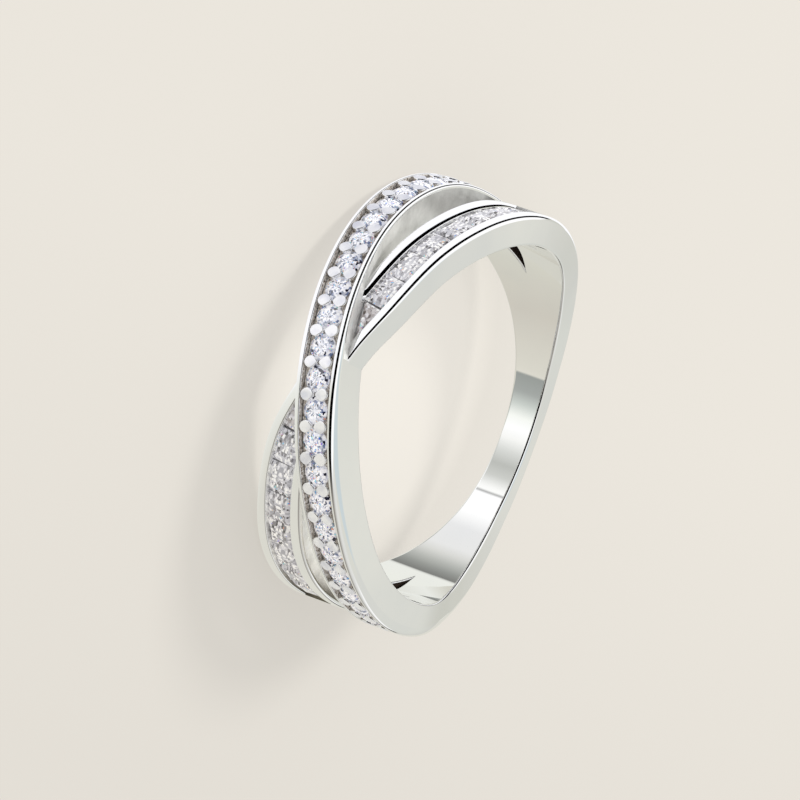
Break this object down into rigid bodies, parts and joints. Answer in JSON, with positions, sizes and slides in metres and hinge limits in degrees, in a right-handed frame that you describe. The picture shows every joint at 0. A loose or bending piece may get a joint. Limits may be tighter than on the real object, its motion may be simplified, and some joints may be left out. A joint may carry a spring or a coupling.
{
  "type": "crossover ring",
  "caption": "Finger ring whose front is two crossing arms, one bead set with round stones and one channel set with square stones, over a plain shank.",
  "frame": {"origin": "centre of the finger hole, midway between the ring's two sides", "axes": "+Z along the finger hole's axis, -Y through the crossing of the two arms, +Y through the middle of the plain shank, +X to the side where the arm with round stones rises"},
  "size_m": [0.0204, 0.02, 0.0062],
  "materials": {
    "silver": "polished",
    "round_stones": "polished",
    "square_stones": "polished"
  },
  "bodies": {
    "root": {"band": "silver", "round_stone_1": "round_stones", "round_stone_2": "round_stones", "round_stone_3": "round_stones", "round_stone_4": "round_stones", "round_stone_5": "round_stones", "round_stone_6": "round_stones", "round_stone_7": "round_stones", "round_stone_8": "round_stones", "round_stone_9": "round_stones", "round_stone_10": "round_stones", "round_stone_11": "round_stones", "round_stone_12": "round_stones", "round_stone_13": "round_stones", "round_stone_14": "round_stones", "round_stone_15": "round_stones", "round_stone_16": "round_stones", "round_stone_17": "round_stones", "round_stone_18": "round_stones", "round_stone_19": "round_stones", "round_stone_20": "round_stones", "round_stone_21": "round_stones", "round_stone_22": "round_stones", "square_stone_left_1": "square_stones", "square_stone_left_2": "square_stones", "square_stone_left_3": "square_stones", "square_stone_left_4": "square_stones", "square_stone_left_5": "square_stones", "square_stone_left_6": "square_stones", "square_stone_left_7": "square_stones", "square_stone_right_1": "square_stones", "square_stone_right_2": "square_stones", "square_stone_right_3": "square_stones", "square_stone_right_4": "square_stones", "square_stone_right_5": "square_stones", "square_stone_right_6": "square_stones", "square_stone_right_7": "square_stones", "trimmed_stone_left": "square_stones", "trimmed_stone_right": "square_stones"}
  },
  "joints": []
}
